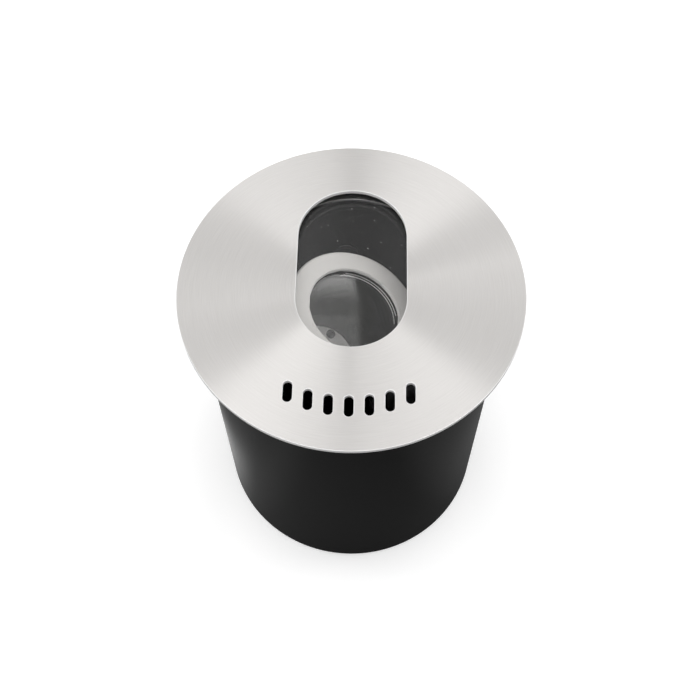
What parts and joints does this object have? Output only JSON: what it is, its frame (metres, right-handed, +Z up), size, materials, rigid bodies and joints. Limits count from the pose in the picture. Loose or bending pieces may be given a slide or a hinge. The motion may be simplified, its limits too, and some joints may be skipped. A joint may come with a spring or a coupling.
{
  "type": "in ground well light",
  "caption": "Round in ground well light: slotted brushed steel cover with a glass port on a black can, lamp cup on a pan and tilt yoke inside.",
  "frame": {"origin": "middle of the underside of the can's base", "axes": "+Z up along the can, -Y towards the row of vent slots"},
  "size_m": [0.1588, 0.1588, 0.1778],
  "materials": {
    "can_black": "fine moulded grain",
    "zinc_sheet": "dull plated sheet",
    "zinc_screw": "plated",
    "nylon": "natural nylon",
    "yoke_black": "black powder coat",
    "ring_grey": "light grey satin coat",
    "cup_cast": "dark coated aluminium",
    "lens_clear": "clear polished",
    "rubber_black": "moulded rubber",
    "baffle_grey": "dark grey satin",
    "pad_blue": "soft heat pad",
    "board_white": "white board coating",
    "emitter_yellow": "phosphor layer",
    "dark_screw": "blackened",
    "gland_black": "moulded nylon",
    "cover_steel": "turned brushed finish",
    "inner_steel": "plain mill finish",
    "spring_steel": "spring temper",
    "port_glass": "tempered clear"
  },
  "bodies": {
    "root": {"housing": "can_black", "conduit_hub": "gland_black", "bridge_posts": "can_black", "bridge_bracket": "zinc_sheet", "bracket_screws": "zinc_screw", "pan_bolt": "zinc_screw", "pan_washer": "nylon", "pan_nut": "zinc_screw"},
    "yoke": {"yoke": "yoke_black"},
    "lamp": {"gimbal_ring": "ring_grey", "lamp_cup": "cup_cast", "cup_lens": "lens_clear", "lens_seal": "rubber_black", "baffle": "baffle_grey", "heat_pad": "pad_blue", "led_board": "board_white", "led_emitter": "emitter_yellow", "board_screws": "dark_screw", "cup_screws": "dark_screw", "tilt_screws": "dark_screw", "tilt_washers": "rubber_black", "cable_gland": "gland_black", "gland_bush": "rubber_black", "gland_cap": "gland_black"},
    "cover": {"cover": "cover_steel", "cover_collar": "inner_steel", "cover_clips": "spring_steel", "port_gasket": "rubber_black", "port_glass": "port_glass", "port_retainer": "inner_steel", "port_studs": "inner_steel", "port_nuts": "zinc_screw"}
  },
  "joints": [
    {"name": "yoke_pan", "type": "hinge", "parent": "root", "child": "yoke", "pos_m": [0, 0, 0.0685], "axis": [0, 0, 1], "range_deg": [-170, 170]},
    {"name": "lamp_tilt", "type": "hinge", "parent": "yoke", "child": "lamp", "pos_m": [0, 0, 0.15046], "axis": [-0.0976, 0.9952, 0], "range_deg": [-45, 3]},
    {"name": "cover_lift", "type": "slide", "parent": "root", "child": "cover", "axis": [0, 0, 1], "range_m": [0, 0.06]}
  ]
}
